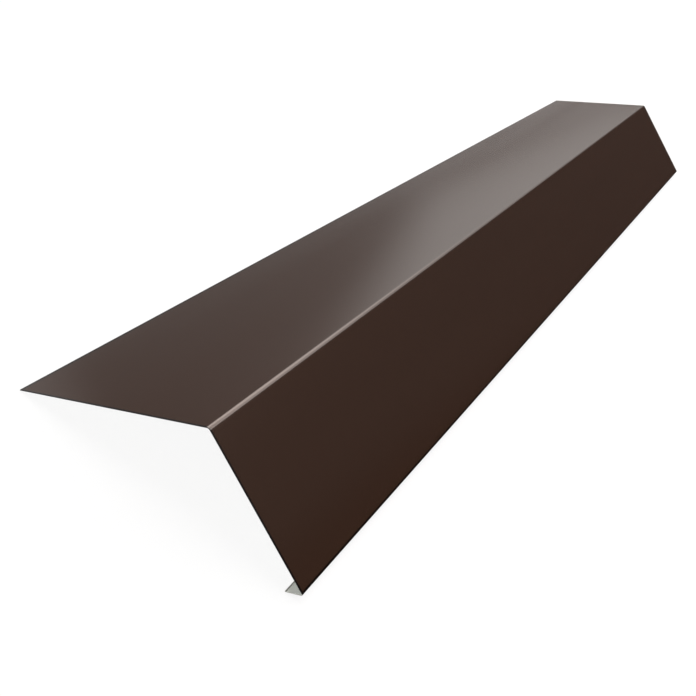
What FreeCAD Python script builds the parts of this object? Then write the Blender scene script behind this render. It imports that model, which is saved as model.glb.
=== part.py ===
# Drip edge flashing: one length of painted steel sheet, folded twice.
#
# In the cross-section, with the roof leg level and +Y to the right, the sheet starts at the roof
# leg's free edge, runs back to the upper fold, drops down the face, and turns back under itself
# at the lower fold into the kick, the short lip that throws the drips clear of the wall.
#
# X runs along the length, the face is towards -Y and the roof leg towards +Y. The length is
# stored as it stands on a floor, like a low tent: on the roof leg's free edge and on the kick.

import FreeCAD, Part
import math
import os

# Driving dimensions, in millimetres and degrees. Leg widths are outside sizes, measured to the
# sharp corner where the outside faces on either side of a fold would meet.
LENGTH = 1000.0
ROOF_LEG_WIDTH = 108.0
FACE_WIDTH = 90.0
KICK_WIDTH = 10.0
SHEET_THICKNESS = 0.5
UPPER_FOLD_ANGLE = 59.0
UPPER_BEND_INSIDE_RADIUS = 2.0
LOWER_FOLD_ANGLE = 121.0
LOWER_BEND_INSIDE_RADIUS = 0.5

# The heading of the roof leg in the cross-section, from its free edge towards the upper fold.
ROOF_LEG_ANGLE = 180.0


def direction(heading):
    """The unit vector in the cross-section at an angle from +Y towards +Z."""
    angle = math.radians(heading)
    return FreeCAD.Vector(0, math.cos(angle), math.sin(angle))


def setback(turn, inside_radius):
    """How far before the sharp outside corner a fold's bend begins."""
    return (inside_radius + SHEET_THICKNESS) * math.tan(math.radians(turn) / 2)


def flat(start, end, inward):
    """A leg's two faces, outside and inside, as a pair of lines."""
    outside = Part.LineSegment(start, end)
    inside = Part.LineSegment(end + inward * SHEET_THICKNESS, start + inward * SHEET_THICKNESS)
    return outside, inside


def bend(start, heading, turn, inside_radius):
    """A fold's two faces, outside and inside, as a pair of concentric arcs, and where it ends."""
    centre = start + direction(heading + 90) * (inside_radius + SHEET_THICKNESS)
    out_of_centre = [direction(heading - 90 + turn * share) for share in (0, 0.5, 1)]
    outer = [centre + way * (inside_radius + SHEET_THICKNESS) for way in out_of_centre]
    inner = [centre + way * inside_radius for way in out_of_centre]
    return Part.Arc(*outer), Part.Arc(*reversed(inner)), outer[-1]


def folded_section():
    """The cross-section: a closed outline of flats and bends, one sheet thick all the way."""
    legs = [ROOF_LEG_WIDTH, FACE_WIDTH, KICK_WIDTH]
    folds = [(UPPER_FOLD_ANGLE, UPPER_BEND_INSIDE_RADIUS), (LOWER_FOLD_ANGLE, LOWER_BEND_INSIDE_RADIUS)]
    setbacks = [0.0] + [setback(turn, radius) for turn, radius in folds] + [0.0]

    outside = []
    inside = []
    heading = ROOF_LEG_ANGLE
    point = direction(heading) * -ROOF_LEG_WIDTH
    for number, leg in enumerate(legs):
        width = leg - setbacks[number] - setbacks[number + 1]
        end = point + direction(heading) * width
        outer_line, inner_line = flat(point, end, direction(heading + 90))
        outside.append(outer_line)
        inside.append(inner_line)
        point = end
        if number < len(folds):
            turn, radius = folds[number]
            outer_arc, inner_arc, point = bend(end, heading, turn, radius)
            outside.append(outer_arc)
            inside.append(inner_arc)
            heading += turn

    inside.reverse()
    kick_edge = Part.LineSegment(outside[-1].EndPoint, inside[0].StartPoint)
    roof_leg_edge = Part.LineSegment(inside[-1].EndPoint, outside[0].StartPoint)
    curves = outside + [kick_edge] + inside + [roof_leg_edge]
    return Part.Wire([curve.toShape() for curve in curves])


def resting_tilt(section):
    """The turn about +X that sets both of the section's lowest points on the floor."""
    heel = direction(ROOF_LEG_ANGLE) * -ROOF_LEG_WIDTH
    heel += direction(ROOF_LEG_ANGLE + 90) * SHEET_THICKNESS
    corners = [vertex.Point for vertex in section.Vertexes]
    points = corners + section.discretize(Distance=SHEET_THICKNESS / 10)
    past_the_ridge = [point for point in points if point.y < 0]
    drops = [math.atan2(heel.z - point.z, heel.y - point.y) for point in past_the_ridge]
    return -math.degrees(max(drops))


def drip_edge():
    """The folded sheet at its full length, standing on the floor over the origin."""
    section = folded_section()
    sheet = Part.Face(section).extrude(FreeCAD.Vector(LENGTH, 0, 0))
    sheet.rotate(FreeCAD.Vector(0, 0, 0), FreeCAD.Vector(1, 0, 0), resting_tilt(section))
    box = sheet.optimalBoundingBox(False)
    sheet.translate(FreeCAD.Vector(-box.Center.x, -box.Center.y, -box.ZMin))
    return sheet


os.makedirs("parts", exist_ok=True)
drip_edge().exportStep("parts/drip_edge.step")
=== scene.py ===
import math

import bmesh
import bpy
from mathutils import Matrix, Vector


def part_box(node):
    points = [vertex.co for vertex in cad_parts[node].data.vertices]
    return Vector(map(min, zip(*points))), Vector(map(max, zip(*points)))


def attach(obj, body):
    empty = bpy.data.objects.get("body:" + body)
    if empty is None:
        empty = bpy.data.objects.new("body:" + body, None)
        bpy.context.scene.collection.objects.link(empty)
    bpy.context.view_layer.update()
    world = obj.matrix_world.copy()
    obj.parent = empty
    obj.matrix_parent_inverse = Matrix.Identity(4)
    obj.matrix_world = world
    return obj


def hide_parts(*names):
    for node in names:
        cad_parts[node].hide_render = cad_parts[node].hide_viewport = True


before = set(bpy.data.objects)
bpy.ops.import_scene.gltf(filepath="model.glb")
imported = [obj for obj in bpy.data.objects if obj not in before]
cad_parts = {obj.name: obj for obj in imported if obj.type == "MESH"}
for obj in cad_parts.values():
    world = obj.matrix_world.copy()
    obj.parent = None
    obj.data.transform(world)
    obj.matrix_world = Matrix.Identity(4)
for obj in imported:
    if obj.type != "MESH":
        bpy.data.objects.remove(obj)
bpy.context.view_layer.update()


# The folded sheet
# One strip of half-millimetre steel, painted in the coil while it was flat, slit to width, and
# folded twice on a press brake: a wide roof leg, a sloping face, and a kick turned back under it.
# Nothing is fixed to it. Its edges are as the slitting and the guillotine left them.
LENGTH = 1.000
ROOF_LEG_WIDTH = 0.108
FACE_WIDTH = 0.090
KICK_WIDTH = 0.010
SHEET_THICKNESS = 0.0005
UPPER_FOLD_ANGLE = math.radians(59)
UPPER_BEND_INSIDE_RADIUS = 0.002
LOWER_FOLD_ANGLE = math.radians(121)
LOWER_BEND_INSIDE_RADIUS = 0.0005

LENGTHWISE_STEPS = 40
ROOF_LEG_STEPS, FACE_STEPS, KICK_STEPS = 12, 10, 3
BEND_STEPS = 24


def towards(heading):
    """The unit vector in the cross-section at an angle from +Y towards +Z."""
    return Vector((0, math.cos(heading), math.sin(heading)))


def walk_across_the_sheet():
    """Stations on the outside skin: the place, the outward normal and the distance from the free edge."""
    legs = [(ROOF_LEG_WIDTH, ROOF_LEG_STEPS), (FACE_WIDTH, FACE_STEPS), (KICK_WIDTH, KICK_STEPS)]
    folds = [
        (UPPER_FOLD_ANGLE, UPPER_BEND_INSIDE_RADIUS + SHEET_THICKNESS),
        (LOWER_FOLD_ANGLE, LOWER_BEND_INSIDE_RADIUS + SHEET_THICKNESS),
    ]
    setbacks = [0.0] + [radius * math.tan(turn / 2) for turn, radius in folds] + [0.0]
    heading = math.pi
    place = Vector((0, ROOF_LEG_WIDTH, 0))
    across = 0.0
    stations = [(place.copy(), towards(heading - math.pi / 2), across)]
    for number, (leg, steps) in enumerate(legs):
        width = leg - setbacks[number] - setbacks[number + 1]
        for step in range(steps):
            place = place + towards(heading) * (width / steps)
            across += width / steps
            stations.append((place.copy(), towards(heading - math.pi / 2), across))
        if number < len(folds):
            turn, radius = folds[number]
            centre = place + towards(heading + math.pi / 2) * radius
            for step in range(BEND_STEPS):
                heading += turn / BEND_STEPS
                across += radius * turn / BEND_STEPS
                normal = towards(heading - math.pi / 2)
                place = centre + normal * radius
                stations.append((place.copy(), normal, across))
    return stations


def resting_place(stations):
    """Takes the section from its roof leg level to the floor, on the roof leg's free edge and the kick."""
    edge, kick_edge = stations[0], stations[-1]
    heel = edge[0] - edge[1] * SHEET_THICKNESS
    toe = kick_edge[0]
    tilt = Matrix.Rotation(-math.atan2(heel.z - toe.z, heel.y - toe.y), 4, "X")
    low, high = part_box("drip_edge")
    ys = [(tilt @ place).y for place, normal, across in stations]
    middle = (min(ys) + max(ys)) / 2
    lift = low.z - (tilt @ heel).z
    return Matrix.Translation(((low.x + high.x) / 2, (low.y + high.y) / 2 - middle, lift)) @ tilt


stations = walk_across_the_sheet()
resting = resting_place(stations)

last = len(stations) - 1
upper_bend = (ROOF_LEG_STEPS, ROOF_LEG_STEPS + BEND_STEPS)
lower_bend = (last - KICK_STEPS - BEND_STEPS, last - KICK_STEPS)
across_at = [across for place, normal, across in stations]
stops_along = [LENGTH * (step / LENGTHWISE_STEPS - 0.5) for step in range(LENGTHWISE_STEPS + 1)]

# The finishes, by their place in the sheet's list of materials.
OUTSIDE, INSIDE, SHEARED, FOLD_SHADE_FINISH = 0, 1, 2, 3

shape = bmesh.new()
flat_sheet = shape.loops.layers.uv.new("flat_sheet")
outside, inside = [], []
for x in stops_along:
    along = Vector((x, 0, 0))
    outside.append([shape.verts.new(resting @ (place + along)) for place, normal, across in stations])
    inside.append([
        shape.verts.new(resting @ (place - normal * SHEET_THICKNESS + along))
        for place, normal, across in stations
    ])


def skin(corners, finish, flat_places):
    """One quad of the sheet, with its finish and its place on the sheet as it was before folding."""
    face = shape.faces.new(corners)
    face.material_index = finish
    face.smooth = True
    for loop, flat_place in zip(face.loops, flat_places):
        loop[flat_sheet].uv = flat_place


for step in range(LENGTHWISE_STEPS):
    near, far = stops_along[step], stops_along[step + 1]
    for number in range(last):
        s0, s1 = across_at[number], across_at[number + 1]
        flat_places = [(near, s0), (far, s0), (far, s1), (near, s1)]
        # The outside of the tight lower fold takes the painted shade finish.
        tight = lower_bend[0] <= number < lower_bend[1]
        for rows, finish in ((outside, FOLD_SHADE_FINISH if tight else OUTSIDE), (inside, INSIDE)):
            a, b = rows[step], rows[step + 1]
            skin((a[number], b[number], b[number + 1], a[number + 1]), finish, flat_places)
    for number in (0, last):
        s = across_at[number]
        a, b = outside[step], outside[step + 1]
        c, d = inside[step], inside[step + 1]
        depth = s + SHEET_THICKNESS
        flat_places = [(near, s), (far, s), (far, depth), (near, depth)]
        skin((a[number], b[number], d[number], c[number]), SHEARED, flat_places)
for step in (0, LENGTHWISE_STEPS):
    x = stops_along[step]
    depth = x + SHEET_THICKNESS
    for number in range(last):
        s0, s1 = across_at[number], across_at[number + 1]
        a, b = outside[step], inside[step]
        flat_places = [(x, s0), (x, s1), (depth, s1), (depth, s0)]
        skin((a[number], a[number + 1], b[number + 1], b[number]), SHEARED, flat_places)
bmesh.ops.recalc_face_normals(shape, faces=shape.faces)
mesh = bpy.data.meshes.new("folded_sheet")
shape.to_mesh(mesh)
shape.free()
sheet = bpy.data.objects.new("folded_sheet", mesh)
bpy.context.scene.collection.objects.link(sheet)

# The arrises of the cut edges are dulled by the film of paint and the roll of the shear blade.
arris = sheet.modifiers.new("dulled_arris", "BEVEL")
arris.width = 0.00007
arris.segments = 2
arris.limit_method = "ANGLE"
arris.angle_limit = math.radians(60)
even = sheet.modifiers.new("flat_legs_stay_flat", "WEIGHTED_NORMAL")
even.keep_sharp = True


def linear(colour):
    """An sRGB hex value as the linear colour that a shader socket takes."""
    channels = [int(colour[i:i + 2], 16) / 255 for i in (1, 3, 5)]
    return [c / 12.92 if c <= 0.04045 else ((c + 0.055) / 1.055) ** 2.4 for c in channels] + [1.0]


def new_tree(owner):
    """The empty node tree of a new material or world."""
    owner.use_nodes = True
    owner.node_tree.nodes.clear()
    return owner.node_tree


def add_node(tree, kind, inputs=None, **settings):
    """Adds a node with its settings. An input takes a value, or the socket of another node to link from."""
    node = tree.nodes.new(kind)
    for name, value in settings.items():
        setattr(node, name, value)
    for name, value in (inputs or {}).items():
        if isinstance(value, bpy.types.NodeSocket):
            tree.links.new(value, node.inputs[name])
        else:
            node.inputs[name].default_value = value
    return node


# The sockets of a Mix node set to colours: the share, the two colours and the mixed colour.
SHARE, FIRST, SECOND, MIXED = 0, 6, 7, 2

# Brown polyester topcoat, roller-coated on the coil and cured before folding. It is
# smooth and semi-glossy, so the legs mirror the room softly, with a faint orange peel about 2 mm across,
# and its shade drifts a little in soft bands along the coil. The upper fold took a little of its
# gloss. Along the cuts and over the start of the lower fold its rim is a painted shade, nearly black.
TOPCOAT_BROWN = "#33231B"
TOPCOAT_BAND = "#302018"
TOPCOAT_PAINTED_SHADE_AT_THE_CUTS = "#0A0706"
BANDS_PER_METRE = (3, 40, 1)
PEEL_PER_METRE = 450.0
FADE_AT_THE_BEND = 0.0008

# Each painted shade rim: the axis of the flat sheet, where the painted dark line ends, and where the full
# brown begins.
PAINTED_SHADE_RIMS = [
    ("X", -LENGTH / 2 + 0.0007, -LENGTH / 2 + 0.0011),
    ("X", LENGTH / 2 - 0.0018, LENGTH / 2 - 0.0028),
    ("Y", 0.0014, 0.0018),
    ("Y", across_at[lower_bend[0]] - 0.0003, across_at[lower_bend[0]] - 0.0007),
]

topcoat = bpy.data.materials.new("polyester_topcoat_roller_coated")
tree = new_tree(topcoat)
flat_place = add_node(tree, "ShaderNodeUVMap", uv_map="flat_sheet").outputs["UV"]
stretch = add_node(tree, "ShaderNodeMapping", {"Vector": flat_place, "Scale": BANDS_PER_METRE})
bands = add_node(tree, "ShaderNodeTexNoise", {
    "Vector": stretch.outputs["Vector"],
    "Scale": 1.0,
    "Detail": 2.0,
}, noise_dimensions="2D")
shade = add_node(tree, "ShaderNodeMix", {
    SHARE: bands.outputs["Fac"],
    FIRST: linear(TOPCOAT_BROWN),
    SECOND: linear(TOPCOAT_BAND),
}, data_type="RGBA")

spot = add_node(tree, "ShaderNodeSeparateXYZ", {"Vector": flat_place})
clear_of_the_painted_shade = 1.0
for axis, dark, brown in PAINTED_SHADE_RIMS:
    clear = add_node(tree, "ShaderNodeMapRange", {
        "Value": spot.outputs[axis],
        "From Min": dark,
        "From Max": brown,
    })
    clear_of_the_painted_shade = add_node(tree, "ShaderNodeMath", {
        0: clear_of_the_painted_shade,
        1: clear.outputs["Result"],
    }, operation="MULTIPLY").outputs["Value"]
# Painted shade: near the cuts and the lower fold the brown is mixed to nearly black.
shade = add_node(tree, "ShaderNodeMix", {
    SHARE: clear_of_the_painted_shade,
    FIRST: linear(TOPCOAT_PAINTED_SHADE_AT_THE_CUTS),
    SECOND: shade.outputs[MIXED],
}, data_type="RGBA")

bend_starts = add_node(tree, "ShaderNodeMapRange", {
    "Value": spot.outputs["Y"],
    "From Min": across_at[upper_bend[0]] - FADE_AT_THE_BEND,
    "From Max": across_at[upper_bend[0]],
    "To Max": 0.05,
})
bend_ends = add_node(tree, "ShaderNodeMapRange", {
    "Value": spot.outputs["Y"],
    "From Min": across_at[upper_bend[1]],
    "From Max": across_at[upper_bend[1]] + FADE_AT_THE_BEND,
    "To Min": 1.0,
    "To Max": 0.0,
})
roughness = add_node(tree, "ShaderNodeMapRange", {
    "Value": bands.outputs["Fac"],
    "To Min": 0.11,
    "To Max": 0.14,
})
roughness = add_node(tree, "ShaderNodeMath", {
    0: bend_starts.outputs["Result"],
    1: bend_ends.outputs["Result"],
    2: roughness.outputs["Result"],
}, operation="MULTIPLY_ADD")

peel = add_node(tree, "ShaderNodeTexNoise", {
    "Vector": flat_place,
    "Scale": PEEL_PER_METRE,
    "Detail": 1.0,
}, noise_dimensions="2D")
peel_height = add_node(tree, "ShaderNodeBump", {
    "Height": peel.outputs["Fac"],
    "Strength": 0.2,
    "Distance": 0.00002,
})
paint = add_node(tree, "ShaderNodeBsdfPrincipled", {
    "Base Color": shade.outputs[MIXED],
    "Roughness": roughness.outputs["Value"],
    "Normal": peel_height.outputs["Normal"],
    "IOR": 1.5,
})
add_node(tree, "ShaderNodeOutputMaterial", {"Surface": paint.outputs["BSDF"]})
sheet.data.materials.append(topcoat)

# Grey epoxy backing coat, a thin roller coat on the side that is hidden once it is up. It is
# plain and nearly matt, with fine lengthwise roller lines. Beside the slit edge of the kick it
# is darker in a fine line, a painted shade line along that edge.
BACKING_GREY = "#CACDC8"
BACKING_LINE = "#C1C4BF"
BACKING_PAINTED_SHADE_AT_THE_SLIT = "#74746D"
ROLLER_LINES_PER_METRE = (8, 900, 1)
SLIT_SHADE_FROM, SLIT_SHADE_BY = 0.0010, 0.0007

backing = bpy.data.materials.new("epoxy_backing_coat_roller_coated")
tree = new_tree(backing)
flat_place = add_node(tree, "ShaderNodeUVMap", uv_map="flat_sheet").outputs["UV"]
stretch = add_node(tree, "ShaderNodeMapping", {"Vector": flat_place, "Scale": ROLLER_LINES_PER_METRE})
lines = add_node(tree, "ShaderNodeTexNoise", {
    "Vector": stretch.outputs["Vector"],
    "Scale": 1.0,
    "Detail": 3.0,
}, noise_dimensions="2D")
tone = add_node(tree, "ShaderNodeMix", {
    SHARE: lines.outputs["Fac"],
    FIRST: linear(BACKING_GREY),
    SECOND: linear(BACKING_LINE),
}, data_type="RGBA")
spot = add_node(tree, "ShaderNodeSeparateXYZ", {"Vector": flat_place})
slit_shade = add_node(tree, "ShaderNodeMapRange", {
    "Value": spot.outputs["Y"],
    "From Min": across_at[last] - SLIT_SHADE_FROM,
    "From Max": across_at[last] - SLIT_SHADE_BY,
})
# Painted shade: a darker fine line beside the kick's slit edge.
tone = add_node(tree, "ShaderNodeMix", {
    SHARE: slit_shade.outputs["Result"],
    FIRST: tone.outputs[MIXED],
    SECOND: linear(BACKING_PAINTED_SHADE_AT_THE_SLIT),
}, data_type="RGBA")
line_height = add_node(tree, "ShaderNodeBump", {
    "Height": lines.outputs["Fac"],
    "Strength": 0.3,
    "Distance": 0.00003,
})
coat = add_node(tree, "ShaderNodeBsdfPrincipled", {
    "Base Color": tone.outputs[MIXED],
    "Roughness": 0.5,
    "Normal": line_height.outputs["Normal"],
    "IOR": 1.5,
})
add_node(tree, "ShaderNodeOutputMaterial", {"Surface": coat.outputs["BSDF"]})
sheet.data.materials.append(backing)

# Sheared steel edge, cut after painting, so no coat covers it. Its colour is a painted shade,
# nearly black and streaked across the thickness by the blade. Round the lower fold and along
# the kick, the blade drew the pale backing coat over it, from these distances across the sheet.
EDGE_PAINTED_SHADE = "#0B0908"
EDGE_PAINTED_SHADE_STREAK = "#141110"
EDGE_OF_THE_KICK = "#8C8D88"
STREAKS_PER_METRE = 1500.0
PALE_FROM, PALE_BY = 0.1965, 0.1970

edge = bpy.data.materials.new("sheared_steel_edge_painted_shade")
tree = new_tree(edge)
place = add_node(tree, "ShaderNodeTexCoord")
streaks = add_node(tree, "ShaderNodeTexNoise", {
    "Vector": place.outputs["Object"],
    "Scale": STREAKS_PER_METRE,
    "Detail": 2.0,
})
# Painted shade: the cut edge is coloured nearly black.
edge_shade = add_node(tree, "ShaderNodeMix", {
    SHARE: streaks.outputs["Fac"],
    FIRST: linear(EDGE_PAINTED_SHADE),
    SECOND: linear(EDGE_PAINTED_SHADE_STREAK),
}, data_type="RGBA")
flat_place = add_node(tree, "ShaderNodeUVMap", uv_map="flat_sheet").outputs["UV"]
spot = add_node(tree, "ShaderNodeSeparateXYZ", {"Vector": flat_place})
kick = add_node(tree, "ShaderNodeMapRange", {
    "Value": spot.outputs["Y"],
    "From Min": PALE_FROM,
    "From Max": PALE_BY,
})
edge_shade = add_node(tree, "ShaderNodeMix", {
    SHARE: kick.outputs["Result"],
    FIRST: edge_shade.outputs[MIXED],
    SECOND: linear(EDGE_OF_THE_KICK),
}, data_type="RGBA")
film = add_node(tree, "ShaderNodeBsdfPrincipled", {
    "Base Color": edge_shade.outputs[MIXED],
    "Roughness": 0.7,
    "IOR": 1.5,
    "Specular IOR Level": 0.2,
})
add_node(tree, "ShaderNodeOutputMaterial", {"Surface": film.outputs["BSDF"]})
sheet.data.materials.append(edge)

# The same topcoat over the tight lower fold. Folding drew it out there, which opened a fine lengthwise
# grain in its skin, so it has lost its gloss. Its nearly black colour is a painted shade line along the
# fold.
FOLD_PAINTED_SHADE = "#120D0A"
FOLD_PAINTED_SHADE_GRAIN = "#1B1410"
GRAIN_PER_METRE = (150, 4000, 1)

fold_shade_coat = bpy.data.materials.new("polyester_topcoat_painted_shade_on_lower_fold")
tree = new_tree(fold_shade_coat)
flat_place = add_node(tree, "ShaderNodeUVMap", uv_map="flat_sheet").outputs["UV"]
drawn_out = add_node(tree, "ShaderNodeMapping", {"Vector": flat_place, "Scale": GRAIN_PER_METRE})
grain = add_node(tree, "ShaderNodeTexNoise", {
    "Vector": drawn_out.outputs["Vector"],
    "Scale": 1.0,
    "Detail": 2.0,
}, noise_dimensions="2D")
tint = add_node(tree, "ShaderNodeMix", {
    SHARE: grain.outputs["Fac"],
    FIRST: linear(FOLD_PAINTED_SHADE),
    SECOND: linear(FOLD_PAINTED_SHADE_GRAIN),
}, data_type="RGBA")
skin_coat = add_node(tree, "ShaderNodeBsdfPrincipled", {
    "Base Color": tint.outputs[MIXED],
    "Roughness": 0.7,
    "IOR": 1.5,
    "Specular IOR Level": 0.0,
})
add_node(tree, "ShaderNodeOutputMaterial", {"Surface": skin_coat.outputs["BSDF"]})
sheet.data.materials.append(fold_shade_coat)

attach(sheet, "root")
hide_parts("drip_edge")


# The floor
# A wide round of white seamless paper under the flashing. The camera and the gloss see it nearly
# white, and it keeps the flashing's shadow.
FLOOR_WHITE = "#F4F4F4"
FLOOR_REACH = 6.0
FLOOR_DROP = 0.0002
FLOOR_GLOW = 0.85


def stage_piece(name, shape):
    """A piece of the studio from its finished shape."""
    mesh = bpy.data.meshes.new(name)
    shape.to_mesh(mesh)
    shape.free()
    piece = bpy.data.objects.new(name, mesh)
    bpy.context.scene.collection.objects.link(piece)
    return piece


floor_shape = bmesh.new()
bmesh.ops.create_circle(floor_shape, cap_ends=True, segments=96, radius=FLOOR_REACH)
floor = stage_piece("floor", floor_shape)
floor.location = (0, 0, -FLOOR_DROP)

seamless = bpy.data.materials.new("white_seamless_paper")
tree = new_tree(seamless)
paper = add_node(tree, "ShaderNodeBsdfDiffuse", {"Color": linear(FLOOR_WHITE)})
white = add_node(tree, "ShaderNodeEmission", {"Color": (1, 1, 1, 1), "Strength": 1.0})
ray = add_node(tree, "ShaderNodeLightPath")
seen = ray.outputs["Is Camera Ray"]
for kind_of_ray in ("Is Glossy Ray", "Is Transmission Ray"):
    seen = add_node(tree, "ShaderNodeMath", {
        0: seen,
        1: ray.outputs[kind_of_ray],
    }, operation="MAXIMUM").outputs["Value"]
glow_share = add_node(tree, "ShaderNodeMath", {0: seen, 1: FLOOR_GLOW}, operation="MULTIPLY")
blend = add_node(tree, "ShaderNodeMixShader", {
    0: glow_share.outputs["Value"],
    1: paper.outputs["BSDF"],
    2: white.outputs["Emission"],
})
add_node(tree, "ShaderNodeOutputMaterial", {"Surface": blend.outputs["Shader"]})
floor.data.materials.append(seamless)


# The light
# A broad soft light overhead, a soft light behind the camera that reaches in under the open end,
# and a long backlit scrim, brightest at its near end, that the gloss of the topcoat mirrors.
def soft_light(name, place, aim, size, strength):
    """A rectangular soft light, its strength the brightness of its face."""
    light = bpy.data.lights.new(name, "AREA")
    light.shape = "RECTANGLE"
    light.size, light.size_y = size
    light.energy = strength * size[0] * size[1] * math.pi
    lamp = bpy.data.objects.new(name, light)
    lamp.location = place
    lamp.rotation_mode = "QUATERNION"
    lamp.rotation_quaternion = (Vector(aim) - Vector(place)).to_track_quat("-Z", "Y")
    bpy.context.scene.collection.objects.link(lamp)


soft_light("overhead", (0.0, 0.3, 2.6), (0, 0, 0), (2.4, 2.4), 2.45)
soft_light("behind_the_camera", (-2.4, -0.35, 0.9), (-0.4, 0, 0), (1.4, 1.0), 10.5)

# The scrim hangs 1 m over the plane of the roof leg and a little askew. Its stations run down the
# length: the distance along its middle, and how far its two edges reach, first the edge on the
# roof leg's side.
SCRIM = [(0.60, 0.70, -2.70), (2.90, 0.66, -2.20), (4.20, 0.64, -1.10), (7.20, -0.36, -0.80)]
SCRIM_HEIGHT = 1.0
SCRIM_TURN = Matrix.Rotation(math.atan(0.27), 4, "Z")
SCRIM_FADE = 0.3

# Its brightness falls off along its length from the lamp behind its near end, whose glow is warmer.
LAMP_REACHES, LAMP_FALLS_BY, LAMP_GLOW = 0.8, 0.6, 4.2
EVEN_GLOW, EVEN_SLOPE = 0.99, -0.077
HOT_END = (1.0, 0.85, 0.78, 1.0)
EVEN_PART = (1.0, 0.96, 0.93, 1.0)
EVEN_FROM = 2.6

# The folds of the cloth: how far in from the edge, and how much brighter or dimmer it is there.
SCRIM_FOLDS = [
    (0.30, 1.02), (0.70, 1.16), (1.10, 1.04), (1.50, 0.80), (1.90, 0.95), (2.50, 1.4), (3.40, 2.0),
]
FOLDS_REACH = 4.0

panel_shape = bmesh.new()
along_and_in = panel_shape.loops.layers.uv.new("along_and_in")
rows = []
for along, edge_side, other_side in SCRIM:
    row = []
    for side in (edge_side, other_side):
        corner = resting @ SCRIM_TURN @ Vector((along, side, SCRIM_HEIGHT))
        row.append((panel_shape.verts.new(corner), (along, edge_side - side)))
    rows.append(row)
for near_row, far_row in zip(rows, rows[1:]):
    corners = [near_row[0], near_row[1], far_row[1], far_row[0]]
    card = panel_shape.faces.new([corner for corner, place in corners])
    for loop, (corner, place) in zip(card.loops, corners):
        loop[along_and_in].uv = place
panel = stage_piece("long_panel", panel_shape)
panel.visible_camera = False


def brightness_ramp(tree, value, stops):
    """A colour ramp of greys over a value, from its stops' positions and levels."""
    ramp = add_node(tree, "ShaderNodeValToRGB", {"Fac": value})
    elements = ramp.color_ramp.elements
    for number, (position, level) in enumerate(stops):
        if number >= len(elements):
            elements.new(position)
        elements[number].position = position
        elements[number].color = (level, level, level, 1)
    return ramp


scrim = bpy.data.materials.new("backlit_scrim")
tree = new_tree(scrim)
spot = add_node(tree, "ShaderNodeUVMap", uv_map="along_and_in")
spot = add_node(tree, "ShaderNodeSeparateXYZ", {"Vector": spot.outputs["UV"]})
nearer = add_node(tree, "ShaderNodeMath", {
    0: LAMP_REACHES,
    1: spot.outputs["X"],
}, operation="SUBTRACT")
nearer = add_node(tree, "ShaderNodeMath", {
    0: nearer.outputs["Value"],
    1: LAMP_FALLS_BY,
}, operation="DIVIDE")
hot_end = add_node(tree, "ShaderNodeMath", {0: nearer.outputs["Value"]}, operation="EXPONENT")
even_part = add_node(tree, "ShaderNodeMath", {
    0: spot.outputs["X"],
    1: EVEN_SLOPE,
    2: EVEN_GLOW,
}, operation="MULTIPLY_ADD")
bright = add_node(tree, "ShaderNodeMath", {
    0: hot_end.outputs["Value"],
    1: LAMP_GLOW,
    2: even_part.outputs["Value"],
}, operation="MULTIPLY_ADD")
inwards = add_node(tree, "ShaderNodeMapRange", {
    "Value": spot.outputs["Y"],
    "From Min": 0.0,
    "From Max": FOLDS_REACH,
})
fold_stops = [(way_in / FOLDS_REACH, level) for way_in, level in SCRIM_FOLDS]
folds = brightness_ramp(tree, inwards.outputs["Result"], fold_stops)
bright = add_node(tree, "ShaderNodeMath", {
    0: bright.outputs["Value"],
    1: folds.outputs["Color"],
}, operation="MULTIPLY")
cooling = add_node(tree, "ShaderNodeMapRange", {
    "Value": spot.outputs["X"],
    "From Min": LAMP_REACHES,
    "From Max": EVEN_FROM,
})
warmth = add_node(tree, "ShaderNodeMix", {
    SHARE: cooling.outputs["Result"],
    FIRST: HOT_END,
    SECOND: EVEN_PART,
}, data_type="RGBA")
glow = add_node(tree, "ShaderNodeEmission", {
    "Color": warmth.outputs[MIXED],
    "Strength": bright.outputs["Value"],
})
clear = add_node(tree, "ShaderNodeBsdfTransparent")
soft_edge = add_node(tree, "ShaderNodeMapRange", {
    "Value": spot.outputs["Y"],
    "From Min": 0.0,
    "From Max": SCRIM_FADE,
}, interpolation_type="SMOOTHSTEP")
edge_blend = add_node(tree, "ShaderNodeMixShader", {
    0: soft_edge.outputs["Result"],
    1: clear.outputs["BSDF"],
    2: glow.outputs["Emission"],
})
add_node(tree, "ShaderNodeOutputMaterial", {"Surface": edge_blend.outputs["Shader"]})
panel.data.materials.append(scrim)


# The room
# The studio's walls, far out all round, hung with dark cloth on the side that the face looks at
# and paler on the roof leg's side, so that the gloss has something dim to mirror. The camera
# doesn't see them: past them it sees the plain white world.
ROOM_RADIUS = 14.0
WALL_TINT = (1.0, 0.93, 0.90, 1.0)

# The walls' level over the sideways part of the direction, from 0 at -Y to 1 at +Y.
ROOM = [(0.35, 0.005), (0.45, 0.01), (0.52, 0.06), (0.62, 0.215), (0.855, 0.205), (0.90, 1.15)]

# The skirting, up to this height over the distance, is this much of the wall above it.
SKIRTING_HEIGHT, SKIRTING_LEVEL = 0.07, 0.4

# On the face's side a little daylight from above grows with height. It begins along a slant, where
# the height plus the sideways part passes these values, and sets in over this sideways share.
DAYLIGHT = 0.20
DAYLIGHT_SLANT = (-0.145, -0.085)
DAYLIGHT_SIDEWAYS = -0.12

room_shape = bmesh.new()
bmesh.ops.create_icosphere(room_shape, subdivisions=2, radius=ROOM_RADIUS)
walls = stage_piece("room_walls", room_shape)
walls.visible_camera = False

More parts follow.
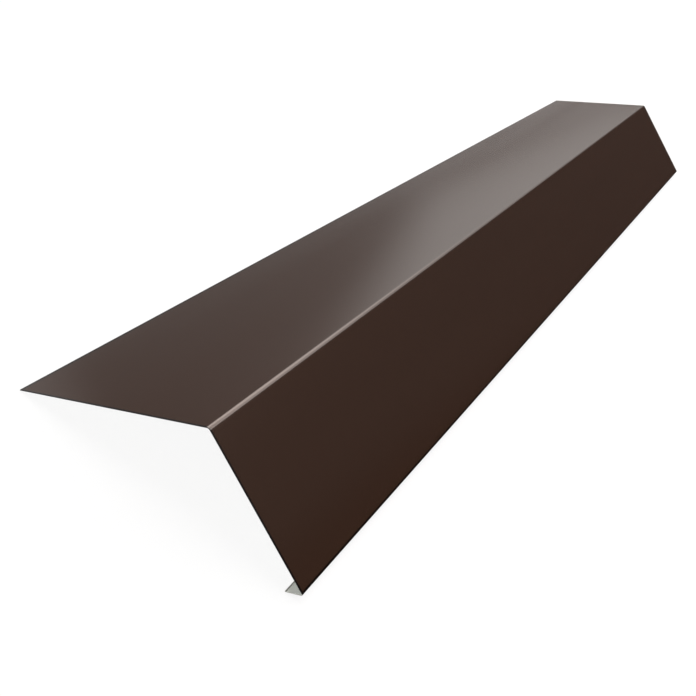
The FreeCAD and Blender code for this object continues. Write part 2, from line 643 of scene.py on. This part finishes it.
cloth = bpy.data.materials.new("wall_cloth")
cloth.cycles.emission_sampling = "NONE"
tree = new_tree(cloth)
way = add_node(tree, "ShaderNodeTexCoord")
way = add_node(tree, "ShaderNodeVectorMath", {0: way.outputs["Object"]}, operation="NORMALIZE")
way = add_node(tree, "ShaderNodeSeparateXYZ", {"Vector": way.outputs["Vector"]})
sideways = add_node(tree, "ShaderNodeMapRange", {
    "Value": way.outputs["Y"],
    "From Min": -1.0,
    "From Max": 1.0,
})
room = brightness_ramp(tree, sideways.outputs["Result"], ROOM)
skirting = add_node(tree, "ShaderNodeMapRange", {
    "Value": way.outputs["Z"],
    "From Min": 0.0,
    "From Max": SKIRTING_HEIGHT,
    "To Min": SKIRTING_LEVEL,
    "To Max": 1.0,
}, interpolation_type="SMOOTHSTEP")
slant = add_node(tree, "ShaderNodeMath", {0: way.outputs["Y"], 1: way.outputs["Z"]}, operation="ADD")
past_the_slant = add_node(tree, "ShaderNodeMapRange", {
    "Value": slant.outputs["Value"],
    "From Min": DAYLIGHT_SLANT[0],
    "From Max": DAYLIGHT_SLANT[1],
}, interpolation_type="SMOOTHSTEP")
face_side = add_node(tree, "ShaderNodeMapRange", {
    "Value": way.outputs["Y"],
    "From Min": 0.0,
    "From Max": DAYLIGHT_SIDEWAYS,
    "To Max": DAYLIGHT,
}, interpolation_type="SMOOTHSTEP")
daylight = way.outputs["Z"]
for factor in (face_side.outputs["Result"], past_the_slant.outputs["Result"]):
    daylight = add_node(tree, "ShaderNodeMath", {
        0: daylight,
        1: factor,
    }, operation="MULTIPLY").outputs["Value"]
daylight = add_node(tree, "ShaderNodeMath", {0: daylight, 1: 0.0}, operation="MAXIMUM")
level = add_node(tree, "ShaderNodeMath", {
    0: room.outputs["Color"],
    1: skirting.outputs["Result"],
    2: daylight.outputs["Value"],
}, operation="MULTIPLY_ADD")
lit = add_node(tree, "ShaderNodeEmission", {"Color": WALL_TINT, "Strength": level.outputs["Value"]})
add_node(tree, "ShaderNodeOutputMaterial", {"Surface": lit.outputs["Emission"]})
walls.data.materials.append(cloth)

world = bpy.data.worlds.new("studio")
tree = new_tree(world)
white = add_node(tree, "ShaderNodeBackground", {"Color": (1, 1, 1, 1), "Strength": 1.0})
add_node(tree, "ShaderNodeOutputWorld", {"Surface": white.outputs["Background"]})
bpy.context.scene.world = world


# The camera
# Given about the section with its roof leg level, and turned with it to the resting tilt. X is
# counted from the middle of the length, Y and Z from the sharp corner of the upper fold.
CAMERA_PLACE = Vector((-0.892370, -0.252497, 0.215509))
CAMERA_FORWARD = Vector((0.84622668, 0.39427059, -0.35840076))
CAMERA_UP = Vector((0.32809691, 0.14441156, 0.93354042))
FOCAL_LENGTH_IN_PIXELS = 1124.6
PICTURE_WIDTH_IN_PIXELS = 696

sight = bpy.data.cameras.new("camera")
sight.sensor_width = 36.0
sight.lens = sight.sensor_width * FOCAL_LENGTH_IN_PIXELS / PICTURE_WIDTH_IN_PIXELS
sight.clip_start, sight.clip_end = 0.05, 50
camera = bpy.data.objects.new("camera", sight)
right = CAMERA_FORWARD.cross(CAMERA_UP).normalized()
up = right.cross(CAMERA_FORWARD).normalized()
turn = Matrix((right, up, -CAMERA_FORWARD.normalized())).transposed().to_4x4()
camera.matrix_world = resting @ Matrix.Translation(CAMERA_PLACE) @ turn
bpy.context.scene.collection.objects.link(camera)
bpy.context.scene.camera = camera

bpy.context.scene.view_settings.view_transform = "Standard"
